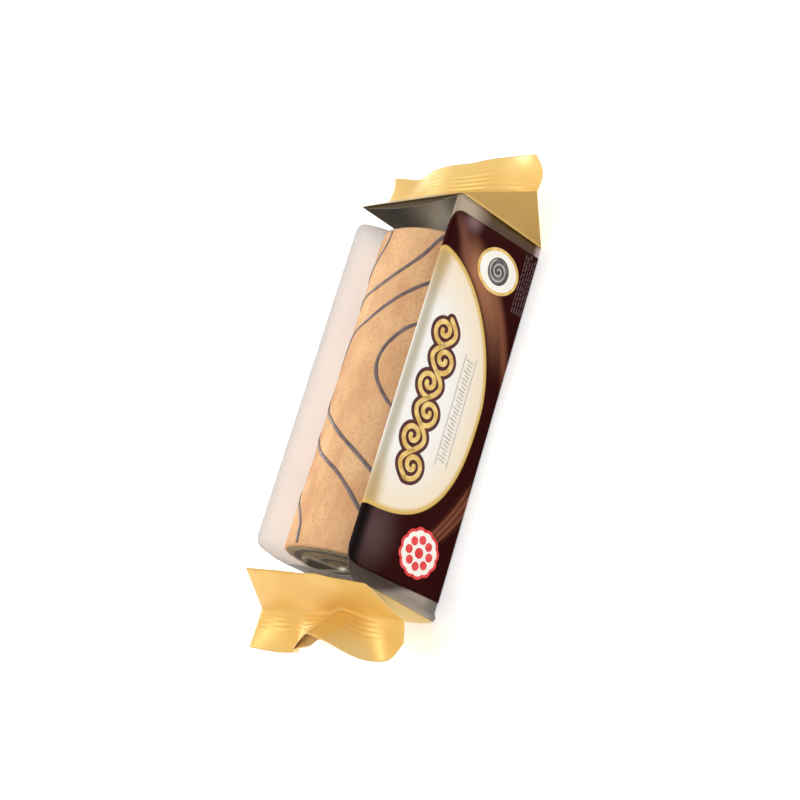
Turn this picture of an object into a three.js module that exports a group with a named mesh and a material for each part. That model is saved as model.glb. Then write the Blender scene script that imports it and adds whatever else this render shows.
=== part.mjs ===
// A swiss roll cake shut in its flow-wrap pack. The film is a straight tube over the tray that
// holds the cake, and at each end its four sides close like a hipped roof into a flat crimped
// fin that waves. The shut pack is one solid out to the film, and only its clear window is left
// out: there the solid follows the roll of cake and the tray's ends.
// X runs along the cake, the printed side faces -Y, the clear window is on top, and the flat
// underside rests at z = 0. Lengths are millimetres.
import * as THREE from "three";

// The tube of film over the tray
const tubeWidth = 81;
const tubeHeight = 62;
const tubeEdgeRadius = 3;
const middle = tubeHeight / 2;

// The roll of cake, as far as it shows through the window. Its rims are rounded.
const roll = {
  middleY: 2,
  middleZ: 31.2,
  halfWidth: 34,
  halfHeight: 29.6,
  nearX: -92,
  farX: 85.5,
  rimRadius: 1.6,
};

// The tray's low end walls, whose rims dip at the middle
const trayEnd = { x: 96.4, thickness: 1.2, rimHeight: 43, dip: 10, dipFrom: 28, dipTo: 8 };

// Upright faces under the window lean by a small draft. The floor there starts at a share of the
// way from the shoulder to the tray's end wall.
const draft = 0.2;
const floorStart = 0.2;

// The fins are flat strips of sealed film. A fold that lifts one also pulls it in, because the
// film doesn't stretch.
const finThickness = 1.4;
const finEdgeRadius = 0.6;
const pulledInPerRise = 0.3;

// The ridges pressed into each fin, next to its base
const ridgePitch = 2.6;
const ridgeCount = 4;
const ridgeDepth = 0.25;

// A shoulder is where the tube stops being straight, along each edge of the tube, and flare is
// how far the tray pushes its low front corner out. A puff over 1 rounds the closing sides
// outwards. The fin's base is where the sides have closed, and it has half widths to the back
// and the front there and at its tip. A fold waves the fin: at is its place across the pack,
// rise its height and spread its reach to each side.
const farEnd = {
  side: 1,
  shoulder: { topBack: 100.4, topFront: 100.4, bottomBack: 98, bottomFront: 98, flare: 0.5 },
  puff: { back: 1, front: 1 },
  finLength: 18.9,
  base: {
    x: 119.1,
    back: 54,
    front: 54,
    folds: [
      { at: 46, rise: 6, spread: 21 },
      { at: 9, rise: 6, spread: 20 },
      { at: -53, rise: -5, spread: 20 },
    ],
  },
  tip: {
    back: 62,
    front: 56,
    folds: [
      { at: 42, rise: -3, spread: 10 },
      { at: 7, rise: 4, spread: 22 },
    ],
  },
  frontBulge: 5,
  frontRounding: 0.1,
};

// The near fin makes one tall fold with a hollow on each side of it.
const nearEnd = {
  side: -1,
  shoulder: { topBack: 106, topFront: 97, bottomBack: 103, bottomFront: 105, flare: 2 },
  puff: { back: 1, front: 2 },
  finLength: 21.4,
  base: {
    x: 118.2,
    back: 58,
    front: 57,
    folds: [{ at: -15, rise: 5.5, spread: 9 }],
  },
  tip: {
    back: 59.5,
    front: 60,
    folds: [
      { at: 34, rise: -12, spread: 15 },
      { at: -12, rise: 17, spread: 21 },
      { at: -42, rise: -8, spread: 13 },
    ],
  },
  frontBulge: 1,
  frontRounding: 0.5,
};

// The share of a fin's front half that its rounded front corner takes
const roundedShare = 0.5;

// How finely the rings of points, the closing sides and the fins are cut
const acrossSteps = 40;
const edgeSteps = 3;
const closingSteps = 5;
const plainFinSteps = 3;

const { lerp, clamp, smoothstep } = THREE.MathUtils;

// A closed ring of [y, z] points round a rounded rectangle about its own middle. It runs from
// the back over the top to the front and returns below, so that a point and the one under it
// count alike from the two ends of the list.
function outline(halfWidth, halfHeight, radius) {
  const quarter = Math.PI / 2;
  const flat = halfWidth - radius;
  const upper = [];
  const edge = (y, fromAngle) => {
    for (let i = 0; i <= edgeSteps; i++) {
      const angle = fromAngle + (i / edgeSteps) * quarter;
      upper.push([y + radius * Math.cos(angle), halfHeight + radius * (Math.sin(angle) - 1)]);
    }
  };
  edge(flat, 0);
  for (let i = 1; i < acrossSteps; i++) {
    upper.push([flat * (1 - (2 * i) / acrossSteps), halfHeight]);
  }
  edge(-flat, quarter);
  const lower = upper.map(([y, z]) => [y, -z]).reverse();
  return [...upper, ...lower];
}

// How far the folds lift the fin at one place across the pack
function wave(folds, y) {
  return folds.reduce((sum, { at, rise, spread }) => sum + rise * Math.exp(-(((y - at) / spread) ** 2)), 0);
}

// The ring at the tube's shoulder, whose place along the pack differs from edge to edge
function shoulderRing({ side, shoulder }) {
  const halfWidth = tubeWidth / 2;
  const halfHeight = tubeHeight / 2;
  return outline(halfWidth, halfHeight, tubeEdgeRadius).map(([y, z]) => {
    const toBack = (1 + y / halfWidth) / 2;
    const toTop = (1 + z / halfHeight) / 2;
    const top = lerp(shoulder.topFront, shoulder.topBack, toBack);
    const bottom = lerp(shoulder.bottomFront, shoulder.bottomBack, toBack);
    const pushed = shoulder.flare * (1 - toBack) * (1 - toTop);
    return new THREE.Vector3(side * lerp(bottom, top, toTop), y - pushed, middle + z);
  });
}

// The ring of the straight tube at one place along it
function tubeRing(near, far, x) {
  return near.map((from, j) => from.clone().lerp(far[j], (x - from.x) / (far[j].x - from.x)));
}

// A ring whose points under the window sink to the height of what shows there
function sunk(ring, height) {
  return ring.map((point, j) => {
    const inWindow = j > edgeSteps && j < edgeSteps + acrossSteps;
    return inWindow ? new THREE.Vector3(point.x, point.y, height(point.y)) : point;
  });
}

// Heights of what shows under the window, across the pack. Between the pieces the solid is
// carved down to where the roll is widest.
const gapHeight = () => roll.middleZ;

function trayRimHeight(y) {
  const toMiddle = 1 - smoothstep(Math.abs(y), trayEnd.dipTo, trayEnd.dipFrom);
  return trayEnd.rimHeight - trayEnd.dip * toMiddle;
}

const rollHeight = (depth) => (y) => {
  const across = (y - roll.middleY) / (roll.halfWidth - depth);
  return roll.middleZ + (roll.halfHeight - depth) * Math.sqrt(Math.max(0, 1 - across ** 2));
};

// The rings under one end of the window, from the shoulder in to the roll
function windowEndRings(near, far, side) {
  const shoulder = side > 0 ? far : near;
  const rollEnd = side > 0 ? roll.farX : roll.nearX;
  const wallOuter = side * trayEnd.x;
  const wallInner = side * (trayEnd.x - trayEnd.thickness);
  const at = (x, height) => sunk(tubeRing(near, far, x), height);
  const byWall = tubeRing(near, far, wallOuter);
  return [
    sunk(shoulder.map((point, j) => point.clone().lerp(byWall[j], floorStart)), gapHeight),
    sunk(byWall, gapHeight),
    at(wallOuter - side * draft, trayRimHeight),
    at(wallInner + side * draft, trayRimHeight),
    at(wallInner, gapHeight),
    at(rollEnd + side * draft, gapHeight),
    at(rollEnd, rollHeight(roll.rimRadius)),
    at(rollEnd - side * roll.rimRadius, rollHeight(0)),
  ];
}

// The height of the pressed ridges at one distance from the fin's base: a zigzag
function ridge(distance) {
  const phase = distance / ridgePitch;
  if (phase > ridgeCount) return 0;
  const fromValley = Math.abs(((phase + 0.5) % 1) - 0.5) * 2;
  return ridgeDepth * (2 * fromValley - 1);
}

// The fin's ring at one share of its length
function finRing({ side, finLength, base, tip, frontBulge, frontRounding }, share) {
  const halfWidth = (base.back + base.front) / 2;
  return outline(halfWidth, finThickness / 2, finEdgeRadius).map(([y, z]) => {
    const across = y / halfWidth;
    const baseY = across > 0 ? across * base.back : across * base.front;
    const tipY = across > 0 ? across * tip.back : across * tip.front;
    const toFront = clamp(-across, 0, 1);
    const baseZ = wave(base.folds, baseY);
    const tipZ = wave(tip.folds, tipY);
    const reach = Math.sqrt(finLength ** 2 - (tipZ - baseZ) ** 2);
    const rounded = Math.max(0, toFront - (1 - roundedShare)) / roundedShare;
    const distance = share * reach * (1 - frontRounding * rounded ** 3);
    const bulge = frontBulge * toFront ** 2 * Math.sin(share * Math.PI);
    return new THREE.Vector3(
      side * (base.x - pulledInPerRise * Math.abs(baseZ) + distance),
      lerp(baseY, tipY, share ** 2) - bulge,
      middle + lerp(baseZ, tipZ, share) + ridge(share * finLength) + z,
    );
  });
}

// The rings of one end, from the shoulder out to the fin's tip
function endRings(end) {
  const shoulder = shoulderRing(end);
  const base = finRing(end, 0);
  const rings = [shoulder];
  for (let i = 1; i < closingSteps; i++) {
    const share = i / closingSteps;
    rings.push(
      shoulder.map((from, j) => {
        const point = from.clone().lerp(base[j], share);
        const puff = lerp(end.puff.front, end.puff.back, (1 + from.y / (tubeWidth / 2)) / 2);
        point.z = lerp(from.z, base[j].z, share ** puff);
        return point;
      }),
    );
  }
  const ridgeEnd = (ridgeCount * ridgePitch) / end.finLength;
  for (let i = 0; i <= 2 * ridgeCount; i++) {
    rings.push(finRing(end, (i / (2 * ridgeCount)) * ridgeEnd));
  }
  for (let i = 1; i <= plainFinSteps; i++) {
    rings.push(finRing(end, lerp(ridgeEnd, 1, i / plainFinSteps)));
  }
  return rings;
}

// One closed skin over a row of rings with the same number of points. The end rings are thin,
// so each is shut by a strip between its upper and its lower points.
function loft(rings) {
  const count = rings[0].length;
  const positions = rings.flat().flatMap((point) => [point.x, point.y, point.z]);
  const index = [];
  const quad = (a, b, c, d) => index.push(a, b, c, a, c, d);
  for (let r = 0; r + 1 < rings.length; r++) {
    for (let j = 0; j < count; j++) {
      const next = (j + 1) % count;
      quad(r * count + j, r * count + next, (r + 1) * count + next, (r + 1) * count + j);
    }
  }
  const last = (rings.length - 1) * count;
  for (let j = 0; j + 1 < count / 2; j++) {
    const under = count - 1 - j;
    quad(j, under, under - 1, j + 1);
    quad(last + j, last + j + 1, last + under - 1, last + under);
  }
  const geometry = new THREE.BufferGeometry();
  geometry.setAttribute("position", new THREE.Float32BufferAttribute(positions, 3));
  geometry.setIndex(index);
  geometry.computeVertexNormals();
  return geometry;
}

const film = new THREE.MeshStandardMaterial({ color: 0xe0a94e, roughness: 0.35, metalness: 0.1 });

const nearRings = endRings(nearEnd);
const farRings = endRings(farEnd);
const [nearShoulder] = nearRings;
const [farShoulder] = farRings;
const packRings = [
  ...nearRings.reverse(),
  ...windowEndRings(nearShoulder, farShoulder, -1),
  ...windowEndRings(nearShoulder, farShoulder, 1).reverse(),
  ...farRings,
];

const pack = new THREE.Mesh(loft(packRings), film);
pack.name = "cake_pack";

const cakePack = new THREE.Group();
cakePack.add(pack);

export default cakePack;
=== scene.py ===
import math
import random

import bpy
from mathutils import Matrix, Vector, noise


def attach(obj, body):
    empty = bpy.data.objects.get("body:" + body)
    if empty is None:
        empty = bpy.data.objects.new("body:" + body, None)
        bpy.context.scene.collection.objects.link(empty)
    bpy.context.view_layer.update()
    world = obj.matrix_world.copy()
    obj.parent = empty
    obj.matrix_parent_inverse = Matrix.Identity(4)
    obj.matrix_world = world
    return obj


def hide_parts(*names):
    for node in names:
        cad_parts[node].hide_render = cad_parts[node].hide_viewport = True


# A swiss roll cake on its milky tray, shut in a flow-wrap pack: clear over the top and the
# back, printed dark brown on the front, gold at both crimped ends. Sizes are in millimetres
# and places are in the row frame: X along the cake, Y to the back, Z up.
MM = 0.001

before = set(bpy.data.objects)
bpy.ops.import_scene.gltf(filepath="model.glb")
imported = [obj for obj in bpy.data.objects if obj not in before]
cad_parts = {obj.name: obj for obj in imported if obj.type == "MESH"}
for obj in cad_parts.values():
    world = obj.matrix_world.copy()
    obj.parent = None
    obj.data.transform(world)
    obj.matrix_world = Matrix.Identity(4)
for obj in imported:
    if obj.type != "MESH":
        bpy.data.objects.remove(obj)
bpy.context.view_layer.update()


# Small helpers for numbers

def lerp(start, stop, share):
    return start + (stop - start) * share


def clamp(value, low=0.0, high=1.0):
    return max(low, min(high, value))


def smooth(low, high, value):
    share = clamp((value - low) / (high - low))
    return share * share * (3 - 2 * share)


def spread_evenly(start, stop, steps):
    return [lerp(start, stop, i / steps) for i in range(steps + 1)]


# A curve that is 1 at its middle and falls to both sides. A higher power flattens its top.
def bell(value, middle, spread, power=2):
    return math.exp(-(((value - middle) / spread) ** power))


# The pack's tube and its two ends

TUBE_WIDTH = 81.0
TUBE_HEIGHT = 62.0
HALF_WIDTH = TUBE_WIDTH / 2
MIDDLE = TUBE_HEIGHT / 2
FILM_EDGE_RADIUS = 1.2
SMALLEST_EDGE_RADIUS = 0.2

# How far the film's underside lies above the surface that the pack rests on
UNDERSIDE_ROOM = 0.45

# A fin's half thickness, and the share of it that rounds the fin's rim. A fold that lifts a fin
# also pulls it in, and the ridges are pressed into it next to its base.
FIN_HALF = 0.18
FIN_RIM_SHARE = 0.75
PULLED_IN_PER_RISE = 0.3
RIDGE_PITCH = 2.6
RIDGE_COUNT = 4
RIDGE_DEPTH = 0.25
FAINT_RIDGE = 0.25

# The share of a fin's front half that its rounded corner takes, and the share of its length
# where the two sheets of film start to part
ROUNDED_SHARE = 0.5
PARTING_START = 0.35

# The shoulder is where the tube stops being straight, at each of its long edges, and flare is
# how far the low front corner is pushed out. A puff over 1 rounds the closing sides outwards.
# The fin begins at base_x, and base and tip are its half widths there and at its tip. A fold
# is (place across the pack, rise, spread), and loosened folds grow from the base to the tip.
# gold_start is the share of the closing sides at which the gold begins.
FAR_END = {
    "side": 1,
    "shoulder": {"top_back": 100.4, "top_front": 100.4, "bottom_back": 98.0, "bottom_front": 98.0},
    "flare": 0.5,
    "puff": {"back": 1.0, "front": 1.0},
    "fin_length": 18.86,
    "base_x": 119.1,
    "base": {"back": 54.0, "front": 54.0},
    "base_folds": [(46, 6, 21), (9, 6, 20), (-53, -5, 20)],
    "tip": {"back": 62.0, "front": 56.0},
    "tip_folds": [(42, -3, 10), (7, 4, 22)],
    "front_bulge": 5.0,
    "front_rounding": 0.1,
    "loosened": [(-56, 4.2, 16), (-2, -1.6, 10)],
    "parting": None,
    "ridges": {"at": -4, "spread": 18, "firm": 1.0},
    "gold_start": {"top_back": 0.0, "top_front": 0.0, "bottom_back": 0.0, "bottom_front": 0.0},
}

NEAR_END = {
    "side": -1,
    "shoulder": {"top_back": 106.0, "top_front": 97.0, "bottom_back": 103.0, "bottom_front": 105.0},
    "flare": 2.0,
    "puff": {"back": 1.0, "front": 2.0},
    "fin_length": 21.38,
    "base_x": 118.2,
    "base": {"back": 58.0, "front": 57.0},
    "base_folds": [(-15, 5.5, 9)],
    "tip": {"back": 59.5, "front": 60.0},
    "tip_folds": [(34, -12, 15), (-12, 17, 21), (-42, -8, 13)],
    "front_bulge": 1.0,
    "front_rounding": 0.5,
    "loosened": [(20.4, 4.2, 25.3), (39.2, -5.6, 13.6)],
    "parting": {"at": -7, "depth": 9.1, "spread": 15.5},
    "ridges": {"at": 34, "spread": 30, "firm": 0.42},
    "gold_start": {"top_back": 0.0, "top_front": 0.5, "bottom_back": 0.0, "bottom_front": 0.42},
}

# How finely a ring is cut along its sides, across its top and round its edges
SIDE_STEPS = 14
ACROSS_STEPS = 44
EDGE_STEPS = 4

CLOSING_STEPS = 12
STEPS_PER_RIDGE = 8
PLAIN_FIN_STEPS = 10

# The corners of a ring, as shares of its half width and half height
RING_CORNERS = [(1, -1), (1, 1), (-1, 1), (-1, -1)]
QUARTER = math.pi / 2
TURN = 2 * math.pi


# The spots round a ring: up the back, over the top, down the front and back below. A spot is
# a share of the flat half width, a share of the flat half height, and the way it faces.
def ring_spots():
    spots = []
    for i in range(len(RING_CORNERS)):
        here = RING_CORNERS[i]
        there = RING_CORNERS[(i + 1) % len(RING_CORNERS)]
        facing = i * QUARTER
        steps = SIDE_STEPS if i % 2 == 0 else ACROSS_STEPS
        for k in range(steps):
            share = k / steps
            spots.append((lerp(here[0], there[0], share), lerp(here[1], there[1], share), facing))
        for k in range(EDGE_STEPS):
            spots.append((there[0], there[1], facing + QUARTER * k / EDGE_STEPS))
    return spots


def ring_place(spot, half_width, half_height, radius):
    y = spot[0] * (half_width - radius) + radius * math.cos(spot[2])
    z = spot[1] * (half_height - radius) + radius * math.sin(spot[2])
    return y, z


def wave(folds, y):
    return sum(rise * bell(y, at, spread) for at, rise, spread in folds)


def over_corners(values, to_back, to_top):
    top = lerp(values["top_front"], values["top_back"], to_back)
    bottom = lerp(values["bottom_front"], values["bottom_back"], to_back)
    return lerp(bottom, top, to_top)


def shares_of(y, z):
    return (1 + y / HALF_WIDTH) / 2, (1 + z / MIDDLE) / 2


# A point at the tube's shoulder, whose place along the pack differs from edge to edge
def shoulder_point(end, spot, inset):
    radius = max(FILM_EDGE_RADIUS - inset, SMALLEST_EDGE_RADIUS)
    y, z = ring_place(spot, HALF_WIDTH - inset, MIDDLE - inset, radius)
    to_back, to_top = shares_of(y, z)
    x = over_corners(end["shoulder"], to_back, to_top)
    pushed = end["flare"] * (1 - to_back) * (1 - to_top)
    lifted = UNDERSIDE_ROOM * (1 - to_top)
    return Vector((end["side"] * x, y - pushed, MIDDLE + z + lifted))


# The height of the pressed ridges. They are pressed firmly in one part of a fin, and faintly
# in the rest of it.
def ridge(end, y, distance):
    phase = distance / RIDGE_PITCH
    if phase > RIDGE_COUNT:
        return 0.0
    ridges = end["ridges"]
    firmness = lerp(FAINT_RIDGE, ridges["firm"], bell(y, ridges["at"], ridges["spread"], 4))
    return firmness * RIDGE_DEPTH * math.cos(TURN * phase)


# How far the lower sheet of a fin sags away from the upper one
def parted(end, y, share):
    parting = end["parting"]
    if parting is None:
        return 0.0
    across = bell(y, parting["at"], parting["spread"], 4)
    return parting["depth"] * across * smooth(PARTING_START, 1.0, share)


def fin_point(end, spot, share, inset):
    base, tip = end["base"], end["tip"]
    half_width = (base["back"] + base["front"]) / 2
    half = FIN_HALF - inset
    y, z = ring_place(spot, half_width - inset, half, FIN_RIM_SHARE * half)
    across = y / half_width
    side = "back" if across > 0 else "front"
    base_y = across * base[side]
    tip_y = across * tip[side]
    to_front = clamp(-across)
    base_z = wave(end["base_folds"], base_y)
    tip_z = wave(end["tip_folds"], tip_y)
    reach = math.sqrt(end["fin_length"] ** 2 - (tip_z - base_z) ** 2)
    rounded = max(0.0, to_front - (1 - ROUNDED_SHARE)) / ROUNDED_SHARE
    distance = share * reach * (1 - end["front_rounding"] * rounded ** 3)
    bulge = end["front_bulge"] * to_front ** 2 * math.sin(share * math.pi)
    height = lerp(base_z, tip_z, share) + wave(end["loosened"], tip_y) * share
    height += ridge(end, tip_y, share * end["fin_length"])
    if z < 0:
        height -= parted(end, tip_y, share)
    return Vector((
        end["side"] * (end["base_x"] - PULLED_IN_PER_RISE * abs(base_z) + distance),
        lerp(base_y, tip_y, share ** 2) - bulge,
        MIDDLE + height + z,
    ))


# A point on one of the four sides that close the tube, from the shoulder to the fin's base
def closing_point(end, spot, share, inset):
    start = shoulder_point(end, spot, inset)
    stop = fin_point(end, spot, 0.0, inset)
    point = start.lerp(stop, share)
    to_back, _ = shares_of(start.y, 0)
    puff = lerp(end["puff"]["front"], end["puff"]["back"], to_back)
    point.z = lerp(start.z, stop.z, max(share, 0.0) ** puff)
    return point


# The point of the wrapper at one spot round it and one place along it, between the fins
def wrap_point(spot, x, inset=0.0):
    near = shoulder_point(NEAR_END, spot, inset)
    far = shoulder_point(FAR_END, spot, inset)
    if x < near.x:
        base = fin_point(NEAR_END, spot, 0.0, inset)
        return closing_point(NEAR_END, spot, (near.x - x) / (near.x - base.x), inset)
    if x > far.x:
        base = fin_point(FAR_END, spot, 0.0, inset)
        return closing_point(FAR_END, spot, (x - far.x) / (base.x - far.x), inset)
    return near.lerp(far, (x - near.x) / (far.x - near.x))


# Making pieces from grids of points

def new_piece(name, points, faces, looks, face_looks=None, smooth_faces=True):
    mesh = bpy.data.meshes.new(name)
    mesh.from_pydata([tuple(Vector(point) * MM) for point in points], [], faces)
    for look in looks:
        mesh.materials.append(look)
    if face_looks:
        mesh.polygons.foreach_set("material_index", face_looks)
    mesh.polygons.foreach_set("use_smooth", [smooth_faces] * len(mesh.polygons))
    mesh.validate()
    mesh.update()
    piece = bpy.data.objects.new(name, mesh)
    bpy.context.scene.collection.objects.link(piece)
    return piece


# The sheet between two grids of the same size: the outer one is seen from outside, the inner
# one from inside, and strips close its rims. Faces of the inner grid wear the last look.
def sheet_between(name, outer, inner, looks, around=False):
    rows, columns = len(outer), len(outer[0])
    points = [point for grid in (outer, inner) for row in grid for point in row]
    inner_start = rows * columns
    faces = []
    face_looks = []

    def at(row, column):
        return row * columns + column % columns

    last = columns if around else columns - 1
    for row in range(rows - 1):
        for column in range(last):
            face = (at(row, column), at(row, column + 1), at(row + 1, column + 1), at(row + 1, column))
            faces.append(face)
            face_looks.append(0)
            faces.append(tuple(inner_start + corner for corner in reversed(face)))
            face_looks.append(len(looks) - 1)

    def rim(a, b):
        faces.append((b, a, inner_start + a, inner_start + b))
        face_looks.append(0)

    for column in range(last):
        rim(at(0, column), at(0, column + 1))
        rim(at(rows - 1, column + 1), at(rows - 1, column))
    if not around:
        for row in range(rows - 1):
            rim(at(row + 1, 0), at(row, 0))
            rim(at(row, columns - 1), at(row + 1, columns - 1))
    return new_piece(name, points, faces, looks, face_looks)


def wear(piece):
    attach(piece, "root")
    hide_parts("cake_pack")
    return piece


# Colours, given as they show on a screen, turned into the linear ones that shaders take
def colour(red, green, blue):
    def linear(value):
        share = value / 255
        return share / 12.92 if share <= 0.04045 else ((share + 0.055) / 1.055) ** 2.4

    return (linear(red), linear(green), linear(blue), 1.0)


WHITE = (1.0, 1.0, 1.0, 1.0)

# The part of a cloudy noise over which it goes from one colour to the other
CLOUD_RANGE = (0.3, 0.7)


# One material and its nodes. Its place is in millimetres, whole and split into axes.
class Look:
    def __init__(self, name):
        self.material = bpy.data.materials.new(name)
        self.material.use_nodes = True
        self.tree = self.material.node_tree
        self.tree.nodes.clear()
        self.output = self.add("ShaderNodeOutputMaterial")
        source = self.add("ShaderNodeTexCoord").outputs["Object"]
        scaled = self.add("ShaderNodeVectorMath", {"operation": "SCALE"}, Vector=source, Scale=1 / MM)
        self.place = scaled.outputs[0]
        self.x, self.y, self.z = self.add("ShaderNodeSeparateXYZ", Vector=self.place).outputs

    def add(self, kind, settings=None, **inputs):
        node = self.tree.nodes.new(kind)
        for key, value in (settings or {}).items():
            setattr(node, key, value)
        for key, value in inputs.items():
            self.feed(node.inputs[key.replace("_", " ")], value)
        return node

    def feed(self, socket, value):
        if isinstance(value, bpy.types.NodeSocket):
            self.tree.links.new(value, socket)
        else:
            socket.default_value = value

    def math(self, operation, *values):
        node = self.add("ShaderNodeMath", {"operation": operation})
        for socket, value in zip(node.inputs, values):
            self.feed(socket, value)
        return node.outputs[0]

    def times(self, first, *others):
        for other in others:
            first = self.math("MULTIPLY", first, other)
        return first

    # How far a value lies from a middle, to either side
    def away(self, value, middle):
        return self.math("ABSOLUTE", self.math("SUBTRACT", value, middle))

    def stretched(self, *scale):
        return self.add("ShaderNodeMapping", Vector=self.place, Scale=scale).outputs[0]

    def noise(self, size, detail=2.0, roughness=0.5, place=None):
        node = self.add(
            "ShaderNodeTexNoise", Vector=place or self.place, Scale=1 / size, Detail=detail,
            Roughness=roughness)
        return node.outputs["Fac"]

    def fade(self, value, low, high, start=0.0, stop=1.0):
        node = self.add(
            "ShaderNodeMapRange", {"interpolation_type": "SMOOTHSTEP"},
            Value=value, From_Min=low, From_Max=high, To_Min=start, To_Max=stop)
        return node.outputs["Result"]

    def blend(self, share, first, second):
        node = self.add("ShaderNodeMix", {"data_type": "RGBA"})
        self.feed(node.inputs["Factor"], share)
        self.feed(node.inputs[6], first)
        self.feed(node.inputs[7], second)
        return node.outputs[2]

    # A colour laid over a base, as strongly as it covers it at most
    def layer(self, base, share, strength, tone):
        return self.blend(self.times(share, strength), base, colour(*tone))

    def clouded(self, cloud, first, second):
        return self.blend(self.fade(cloud, *CLOUD_RANGE), first, second)

    def bump(self, height, distance):
        return self.add("ShaderNodeBump", Height=height, Distance=distance * MM).outputs[0]

    def principled(self, **inputs):
        return self.add("ShaderNodeBsdfPrincipled", **inputs)

    def mixed(self, share, first, second):
        node = self.add("ShaderNodeMixShader", Fac=share)
        self.feed(node.inputs[1], first.outputs[0])
        self.feed(node.inputs[2], second.outputs[0])
        return node

    def finish(self, shader):
        self.tree.links.new(shader.outputs[0], self.output.inputs["Surface"])
        return self.material


# A round spot that is 1 at its middle and fades out, over two of the axes
def soft_spot(look, first, second, middle, reach):
    along = look.math("DIVIDE", look.math("SUBTRACT", first, middle[0]), reach[0])
    up = look.math("DIVIDE", look.math("SUBTRACT", second, middle[1]), reach[1])
    distance = look.math("SQRT", look.math("ADD", look.times(along, along), look.times(up, up)))
    return look.fade(distance, 1.0, 0.0)


# The clear film

# Ranges that pick out the pack's top and its front side
TOP_HEIGHTS = (58, 60)
FRONT_PLACES = (-39.4, -40.2)

# The narrow clear strips on the front, between the print and the gold, are painted with the inside as it
# shows through the film. The near one is painted light grey below a slanting line, darker towards its foot,
# and painted dark shade above the line. The far one is painted dark shade, grey at the top, with a painted
# pale glint at its foot.
NEAR_STRIP_PLACES = (-95, -96)
NEAR_STRIP_FOOT = (11, 3)
NEAR_LINE_X = 102.0
NEAR_LINE_SLOPE = 2.6
NEAR_LINE_HEIGHTS = (22, 34)
FAR_STRIP_PLACES = (88, 89)
FAR_STRIP_TURN = (93, 98)
FAR_STRIP_TOP = (36, 54)
FAR_STRIP_FOOT = (6, 2)

# The painted shade along the window's front edge, at its far end, for the shaded inside seen through the
# film
EDGE_SHADE_ACROSS = (-36.8, -37.6)
EDGE_SHADE_ALONG = (82, 88)

# How far the gold's shaded edge bows over the top at the far end
FAR_BOW = 4.0
FAR_BOW_EDGE = (-0.4, 0.2)
FAR_BOW_HEIGHTS = (61, 61.5)

# The shaded gap past the tray's near end, which slants over the top, and a glint beside it
GAP_START_X = -99.2
GAP_SLANT = 0.18
GAP_WIDTHS = (3.2, 1.2)
GAP_ACROSS = (-2, -10)
GLINT_PLACE = (-103.0, -35.0)
GLINT_REACH = (1.7, 5.0)

# The film's shine when seen straight on, and what it gains towards a grazing view
FILM_SHINE = 0.012
FILM_SHINE_GAIN = 0.35
FILM_SHINE_POWER = 5.0


# Painted light grey below the slanting line, painted shade above it and at the foot
def near_strip_painted_shade(look):
    cloud = look.noise(9, place=look.stretched(1, 1, 0.4))
    light = look.clouded(cloud, colour(152, 140, 126), colour(178, 164, 148))
    light = look.blend(look.fade(look.z, *NEAR_STRIP_FOOT), light, colour(128, 120, 112))
    past_line = look.math("ADD", look.x, NEAR_LINE_X)
    height = look.math("MULTIPLY_ADD", past_line, NEAR_LINE_SLOPE, look.z)
    return look.blend(look.fade(height, *NEAR_LINE_HEIGHTS), light, colour(64, 51, 39))


# Painted dark shade, grey higher up, and a painted pale glint at the foot
def far_strip_painted_shade(look):
    dark = look.blend(look.fade(look.x, *FAR_STRIP_TURN), colour(82, 58, 42), colour(84, 60, 22))
    grey = look.blend(look.fade(look.z, *FAR_STRIP_TOP), dark, colour(186, 168, 144))
    return look.blend(look.fade(look.z, *FAR_STRIP_FOOT), grey, colour(196, 172, 172))


def bow_shadow(look):
    across = look.math("DIVIDE", look.y, HALF_WIDTH)
    bow = look.times(look.math("SUBTRACT", 1.0, look.times(across, across)), FAR_BOW)
    past_shoulder = look.math("SUBTRACT", look.x, FAR_END["shoulder"]["top_front"])
    past_bow = look.math("ADD", past_shoulder, bow)
    return look.times(look.fade(past_bow, *FAR_BOW_EDGE), look.fade(look.z, *FAR_BOW_HEIGHTS))


def tray_gap(look, on_top):
    beside = look.away(look.x, look.math("MULTIPLY_ADD", look.y, GAP_SLANT, GAP_START_X))
    return look.times(look.fade(beside, *GAP_WIDTHS), look.fade(look.y, *GAP_ACROSS), on_top)


# The painted shade, light and glints that lie on the film, as one colour and one share of cover. Each is a
# place, its strength and its colour, and later ones lie over earlier ones.
def film_painted_light(look):
    on_top = look.fade(look.z, *TOP_HEIGHTS)
    front = look.fade(look.y, *FRONT_PLACES)
    edge = look.times(look.fade(look.y, *EDGE_SHADE_ACROSS), on_top, look.fade(look.x, *EDGE_SHADE_ALONG))
    near_strip = look.times(look.fade(look.x, *NEAR_STRIP_PLACES), front)
    far_strip = look.times(look.fade(look.x, *FAR_STRIP_PLACES), front)
    glint = look.times(soft_spot(look, look.x, look.y, GLINT_PLACE, GLINT_REACH), on_top)
    # The painted shade along the far front edge comes first
    tint = colour(176, 158, 134)
    share = look.times(edge, 0.8)
    for place, strength, painted_tone in (
            (near_strip, 0.88, near_strip_painted_shade(look)),
            (far_strip, 0.88, far_strip_painted_shade(look)),
            (bow_shadow(look), 0.9, colour(76, 57, 30)),
            (tray_gap(look, on_top), 0.88, colour(48, 35, 22)),
            (glint, 0.8, colour(226, 214, 198))):
        tint = look.blend(place, tint, painted_tone)
        share = look.math("MAXIMUM", share, look.times(place, strength))
    return tint, share


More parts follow.
